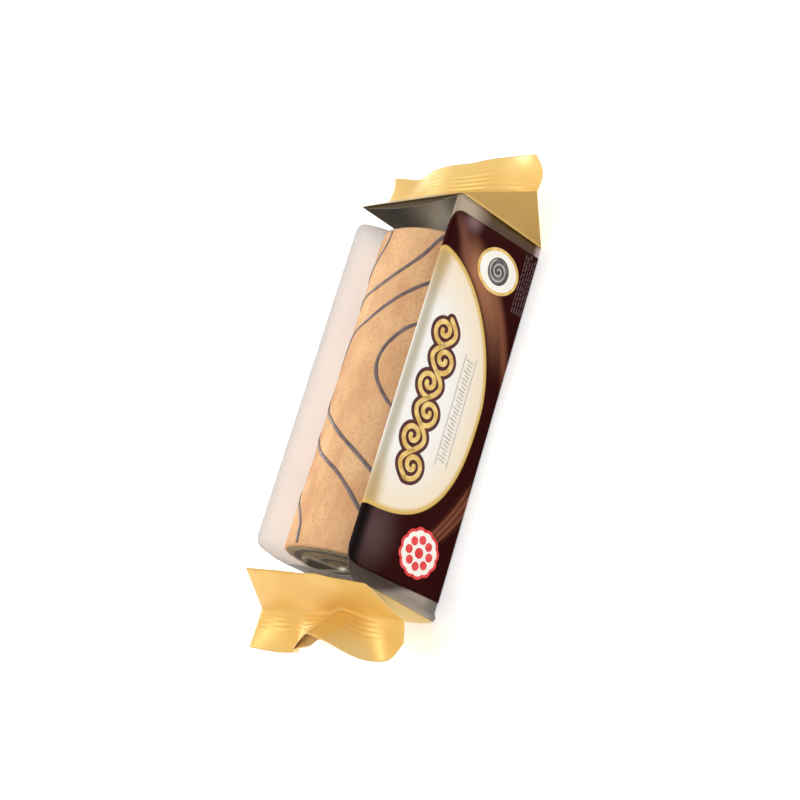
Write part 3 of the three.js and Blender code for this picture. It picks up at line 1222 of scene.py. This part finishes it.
def stripes(look):
    points = []
    faces = []
    radius = (ROLL_HALF_WIDTH + ROLL_HALF_HEIGHT) / 2
    per_degree = math.radians(1) * radius
    count = len(STRIPE_SECTION)
    first_x = ROLL_NEAR_X + STRIPE_FROM_RIM
    last_x = ROLL_FAR_X - STRIPE_FROM_RIM
    for number, stripe in enumerate(STRIPES):
        path = curve_through([(x, degrees * per_degree) for x, degrees in stripe], STRIPE_STEP)
        path = [place for place in path if first_x < place.x < last_x]
        start = len(points)
        for i, place in enumerate(path):
            ahead = way_ahead(path, i)
            across = Vector((-ahead.y, ahead.x)).normalized()
            pattern = Vector((i * STRIPE_STEP / SWELL_LENGTH, number * SWELL_PATTERN, SWELL_ROW))
            half = STRIPE_WIDTH / 2 * (1 + STRIPE_SWELL * noise.noise(pattern))
            for side, up in STRIPE_SECTION:
                spot = place + across * side * half
                points.append(roll_point(spot.x, spot.y / radius, lift=STRIPE_HEIGHT * up))
        for i in range(len(path) - 1):
            here = start + i * count
            for k in range(count):
                following = (k + 1) % count
                faces.append((here + k, here + count + k, here + count + following, here + following))
        faces.append(tuple(start + k for k in range(count)))
        end = start + (len(path) - 1) * count
        faces.append(tuple(end + k for k in reversed(range(count))))
    return wear(new_piece("icing_stripes", points, faces, [look]))


# Ornament printed on the front, as thin shapes on the film. A shape's lift is how far the top
# of its ink lies over the film.

INK_THICKNESS = 0.04
CAP_STEPS = 8


# A point on the front side at a place along the pack and a height
def front_point(x, z, lift):
    spot = (-1, (z - MIDDLE) / FLAT_HALF_HEIGHT, 2 * QUARTER)
    return wrap_point(spot, x, -lift)


# A flat shape on the front from its middle out to an outline of (along, up) steps
def patch(points, faces, outline, lift):
    start = len(points)
    centre = sum((Vector(place) for place in outline), Vector((0, 0))) / len(outline)
    count = len(outline)
    points.append(front_point(centre.x, centre.y, lift))
    points.extend(front_point(x, z, lift) for x, z in outline)
    points.extend(front_point(x, z, lift - INK_THICKNESS) for x, z in outline)
    for i in range(count):
        a, b = start + 1 + i, start + 1 + (i + 1) % count
        faces.append((start, a, b))
        faces.append((b, a, a + count, b + count))
    faces.append(tuple(start + 1 + count + i for i in reversed(range(count))))


# A line of even width along a path on the front, with rounded ends
def stroke(points, faces, path, width, lift):
    path = [Vector(place) for place in path]
    half = width / 2
    left, right = [], []
    for i, place in enumerate(path):
        ahead = way_ahead(path, i).normalized()
        across = Vector((-ahead.y, ahead.x)) * half
        left.append(place + across)
        right.append(place - across)
    start = len(points)
    count = len(path)
    for level in (lift, lift - INK_THICKNESS):
        for side in (left, right):
            points.extend(front_point(p.x, p.y, level) for p in side)
    top_left, top_right, low_left, low_right = (start + k * count for k in range(4))
    for i in range(count - 1):
        faces.append((top_left + i, top_right + i, top_right + i + 1, top_left + i + 1))
        faces.append((low_left + i + 1, low_right + i + 1, low_right + i, low_left + i))
        faces.append((top_left + i + 1, low_left + i + 1, low_left + i, top_left + i))
        faces.append((top_right + i, low_right + i, low_right + i + 1, top_right + i + 1))
    for i in (0, count - 1):
        faces.append((top_left + i, low_left + i, low_right + i, top_right + i))
    for place, ahead in ((path[0], path[0] - path[1]), (path[-1], path[-1] - path[-2])):
        facing = math.atan2(ahead.y, ahead.x)
        turns = spread_evenly(facing - QUARTER, facing + QUARTER, CAP_STEPS)
        cap = [(place.x + half * math.cos(a), place.y + half * math.sin(a)) for a in turns]
        patch(points, faces, cap, lift)


def ellipse(centre, half_width, half_height, steps=48):
    angles = [TURN * i / steps for i in range(steps)]
    return [(centre[0] + half_width * math.cos(a), centre[1] + half_height * math.sin(a)) for a in angles]


# The running vine scroll across the oval: a waving stem with a spiral in each of its hollows
SCROLL_START_X = -48.5
SCROLL_STOP_X = 37.0
SCROLL_Z = 44.4
SCROLL_HALF_WAVES = 6
SCROLL_RISE = 5.4
SCROLL_TURNS = 1.3
SCROLL_INNER_RADIUS = 1.3
SCROLL_TIGHTENING = 0.8
SCROLL_SINK = 2.4
SCROLL_OUTLINE = 6.4
SCROLL_LINE = 2.6
STEM_STEPS = 120
SPIRAL_ORNAMENT_STEPS = 44


def scroll_paths():
    half_wave = (SCROLL_STOP_X - SCROLL_START_X) / SCROLL_HALF_WAVES
    stem = []
    for x in spread_evenly(SCROLL_START_X, SCROLL_STOP_X, STEM_STEPS):
        rise = SCROLL_RISE * math.sin(math.pi * (x - SCROLL_START_X) / half_wave)
        stem.append((x, SCROLL_Z + rise))
    paths = [stem]
    outer = math.hypot(half_wave / 2, SCROLL_SINK)
    start = math.pi - math.asin(SCROLL_SINK / outer)
    for i in range(SCROLL_HALF_WAVES):
        up = 1 if i % 2 == 0 else -1
        centre = Vector((SCROLL_START_X + (i + 0.5) * half_wave, SCROLL_Z - up * SCROLL_SINK))
        path = []
        for t in spread_evenly(0, 1, SPIRAL_ORNAMENT_STEPS):
            angle = start + t * SCROLL_TURNS * TURN
            radius = lerp(outer, SCROLL_INNER_RADIUS, t ** SCROLL_TIGHTENING)
            path.append(centre + Vector((math.cos(angle), up * math.sin(angle))) * radius)
        paths.append(path)
    return paths


def scroll_outline(points, faces, lift):
    for path in scroll_paths():
        stroke(points, faces, path, SCROLL_OUTLINE, lift)


def scroll_line(points, faces, lift):
    for path in scroll_paths():
        stroke(points, faces, path, SCROLL_LINE, lift)


# Two thin rules under the scroll, and a row of small slanted ticks between them
RULES = [((-35.5, 28.2), (24.6, 28.8)), ((-34.3, 20.6), (24.8, 21.1))]
RULE_WIDTH = 0.55
RULE_STEPS = 20
TICKS = {"from": -32.5, "to": 23.5, "pitch": 2.0, "low": 23.0, "high": 26.4, "slant": 0.8}
TICK_WIDTH = 0.75
TICK_WAVE = 0.9
TICK_WAVE_STEP = 2.4


def rules(points, faces, lift):
    for start, stop in RULES:
        path = [Vector(start).lerp(Vector(stop), share) for share in spread_evenly(0, 1, RULE_STEPS)]
        stroke(points, faces, path, RULE_WIDTH, lift)
    for i in range(round((TICKS["to"] - TICKS["from"]) / TICKS["pitch"])):
        x = TICKS["from"] + i * TICKS["pitch"]
        high = TICKS["high"] + TICK_WAVE * math.sin(TICK_WAVE_STEP * i)
        stroke(points, faces, [(x, TICKS["low"]), (x + TICKS["slant"], high)], TICK_WIDTH, lift)


# Rows of fine dashes low down at the far end
DASH_ROWS = (8.6, 6.9, 5.2, 3.5, 1.9)
DASH_START_X = 58.0
DASH_STOP_X = 89.0
DASH_GAP = 1.3
DASH_LENGTHS = (1.0, 3.6)
DASH_WIDTH = 0.75
DASH_SEED = 11


def dashes(points, faces, lift):
    chance = random.Random(DASH_SEED)
    for height in DASH_ROWS:
        x = DASH_START_X
        while x < DASH_STOP_X:
            length = chance.uniform(*DASH_LENGTHS)
            stroke(points, faces, [(x, height), (x + length, height)], DASH_WIDTH, lift)
            x += length + DASH_GAP


# The badge near the far end: an upright ellipse with a slice of roll on it
BADGE_CENTRE = (73.3, 24.4)
BADGE_HALF_WIDTH = 12.2
BADGE_HALF_HEIGHT = 14.7
BADGE_RIM = 1.7
SLICE_RADIUS = 7.4
SLICE_SPIRAL_START = 0.6
SLICE_SPIRAL_TURNS = 2.1
SLICE_SPIRAL_SHARES = (0.86, 0.1)
SLICE_SPIRAL_WIDTH = 0.8
SLICE_SPIRAL_STEPS = 50


def badge_rim(points, faces, lift):
    patch(points, faces, ellipse(BADGE_CENTRE, BADGE_HALF_WIDTH, BADGE_HALF_HEIGHT), lift)


def badge_field(points, faces, lift):
    inner = ellipse(BADGE_CENTRE, BADGE_HALF_WIDTH - BADGE_RIM, BADGE_HALF_HEIGHT - BADGE_RIM)
    patch(points, faces, inner, lift)


def badge_slice(points, faces, lift):
    patch(points, faces, ellipse(BADGE_CENTRE, SLICE_RADIUS, SLICE_RADIUS), lift)


def badge_spiral(points, faces, lift):
    path = []
    for t in spread_evenly(0, 1, SLICE_SPIRAL_STEPS):
        angle = SLICE_SPIRAL_START + t * SLICE_SPIRAL_TURNS * TURN
        radius = lerp(*SLICE_SPIRAL_SHARES, t) * SLICE_RADIUS
        path.append((BADGE_CENTRE[0] + radius * math.cos(angle), BADGE_CENTRE[1] + radius * math.sin(angle)))
    stroke(points, faces, path, SLICE_SPIRAL_WIDTH, lift)


# The plain seal near the near end: a scalloped disc with a ring of round petals
SEAL_CENTRE = (-80.4, 21.6)
SEAL_RADIUS = 11.4
SEAL_LOBES = 12
STEPS_PER_LOBE = 12
LOBE_DEPTH = 0.07
SEAL_RIM_OUT = 0.9
SEAL_RIM_IN = 0.6
SEAL_PETALS = 8
PETAL_RING = 0.6 * SEAL_RADIUS
PETAL_RADIUS = 0.2 * SEAL_RADIUS
SEAL_MIDDLE_RADIUS = 0.24 * SEAL_RADIUS
PETAL_STEPS = 24


def scalloped(radius):
    outline = []
    steps = SEAL_LOBES * STEPS_PER_LOBE
    for i in range(steps):
        angle = TURN * i / steps
        reach = radius * (1 + LOBE_DEPTH * abs(math.sin(SEAL_LOBES * angle / 2)))
        outline.append((SEAL_CENTRE[0] + reach * math.cos(angle), SEAL_CENTRE[1] + reach * math.sin(angle)))
    return outline


def seal_glow(points, faces, lift):
    patch(points, faces, scalloped(SEAL_RADIUS + SEAL_RIM_OUT), lift)


def seal_field(points, faces, lift):
    patch(points, faces, scalloped(SEAL_RADIUS - SEAL_RIM_IN), lift)


def seal_petals(points, faces, lift):
    for centre in ellipse(SEAL_CENTRE, PETAL_RING, PETAL_RING, SEAL_PETALS):
        patch(points, faces, ellipse(centre, PETAL_RADIUS, PETAL_RADIUS, PETAL_STEPS), lift)
    middle = ellipse(SEAL_CENTRE, SEAL_MIDDLE_RADIUS, SEAL_MIDDLE_RADIUS, PETAL_STEPS)
    patch(points, faces, middle, lift)


def ornaments():
    dark = ink_look("dark_ink", colour(66, 8, 10), colour(84, 20, 22))
    gold = ink_look("gold_ink", colour(214, 170, 84), colour(240, 208, 128), 4.0)
    white = ink_look("white_ink", colour(246, 240, 228), colour(250, 246, 238))
    grey = ink_look("grey_ink", colour(178, 174, 166), colour(198, 194, 186))
    faint = ink_look("faint_ink", colour(76, 52, 54), colour(94, 70, 72))
    black = ink_look("black_ink", colour(58, 56, 56), colour(104, 100, 98), 5.0)
    red = ink_look("red_ink", colour(220, 36, 40), colour(236, 74, 74), 5.0)
    for name, ink, draw, lift in (
            ("scroll_outline", dark, scroll_outline, 0.08),
            ("scroll_line", gold, scroll_line, 0.14),
            ("rules", grey, rules, 0.08),
            ("dashes", faint, dashes, 0.06),
            ("badge_rim", gold, badge_rim, 0.06),
            ("badge_field", white, badge_field, 0.11),
            ("badge_slice", black, badge_slice, 0.16),
            ("badge_spiral", grey, badge_spiral, 0.21),
            ("seal_glow", red, seal_glow, 0.06),
            ("seal_field", white, seal_field, 0.1),
            ("seal_petals", red, seal_petals, 0.15)):
        points = []
        faces = []
        draw(points, faces, lift)
        wear(new_piece(name, points, faces, [ink], smooth_faces=False))


# The floor, the lights and the camera

FLOOR_SIZE = 6000.0
FLOOR_STEPS = 12
FLOOR_GLOW = 0.5
WORLD_STRENGTH = 0.71
KEY_LIGHT = {"place": (-500, 300, 1300), "size": 700, "power": 8}
BACK_LIGHT = {"place": (300, 1150, 160), "size": 600, "power": 9}


def floor():
    look = Look("floor")
    base = look.blend(look.noise(400), colour(246, 246, 246), colour(250, 250, 250))
    material = look.finish(look.principled(
        Base_Color=base, Roughness=0.9, Specular_IOR_Level=0.1, Emission_Color=base,
        Emission_Strength=FLOOR_GLOW))
    steps = spread_evenly(-FLOOR_SIZE / 2, FLOOR_SIZE / 2, FLOOR_STEPS)
    points = [(x, y, 0) for x in steps for y in steps]
    count = len(steps)
    faces = []
    for i in range(count - 1):
        for k in range(count - 1):
            a = i * count + k
            faces.append((a, a + count, a + count + 1, a + 1))
    new_piece("floor", points, faces, [material])


def area_light(name, place, size, power):
    light = bpy.data.lights.new(name, "AREA")
    light.shape = "DISK"
    light.size = size * MM
    light.energy = power
    lamp = bpy.data.objects.new(name, light)
    lamp.location = Vector(place) * MM
    lamp.rotation_euler = (-lamp.location).to_track_quat("-Z", "Y").to_euler()
    bpy.context.scene.collection.objects.link(lamp)


def studio():
    world = bpy.data.worlds.new("studio")
    world.use_nodes = True
    background = world.node_tree.nodes["Background"]
    background.inputs["Color"].default_value = WHITE
    background.inputs["Strength"].default_value = WORLD_STRENGTH
    bpy.context.scene.world = world
    area_light("key", **KEY_LIGHT)
    area_light("back", **BACK_LIGHT)
    bpy.context.scene.view_settings.view_transform = "Standard"


CAMERA_PLACE = (-293.7, -835.03, 679.21)
CAMERA_LOOKS = (0.267655, 0.760391, -0.591748)
CAMERA_UP = (0.92043, -0.020185, 0.390385)
FOCAL_SHARE = 2109.04 / 800
SENSOR_WIDTH = 36.0
NEAREST_SEEN = 50
FARTHEST_SEEN = 20000


def camera():
    data = bpy.data.cameras.new("camera")
    data.sensor_width = SENSOR_WIDTH
    data.lens = FOCAL_SHARE * SENSOR_WIDTH
    data.clip_start = NEAREST_SEEN * MM
    data.clip_end = FARTHEST_SEEN * MM
    piece = bpy.data.objects.new("camera", data)
    back = -Vector(CAMERA_LOOKS).normalized()
    right = Vector(CAMERA_UP).cross(back).normalized()
    up = back.cross(right)
    turn = Matrix((right, up, back)).transposed().to_4x4()
    piece.matrix_world = Matrix.Translation(Vector(CAMERA_PLACE) * MM) @ turn
    bpy.context.scene.collection.objects.link(piece)
    bpy.context.scene.camera = piece


camera()
studio()
floor()
clear_tube(clear_film_look())
printed_side(printed_look(), print_back_look())
gold = gold_look()
foil = inner_foil_look()
gold_end("near_gold_end", NEAR_END, gold, foil)
gold_end("far_gold_end", FAR_END, gold, foil)
tray(tray_look())
roll_skin(sponge_look(), crumb_look())
filling(filling_look())
stripes(stripe_look())
ornaments()
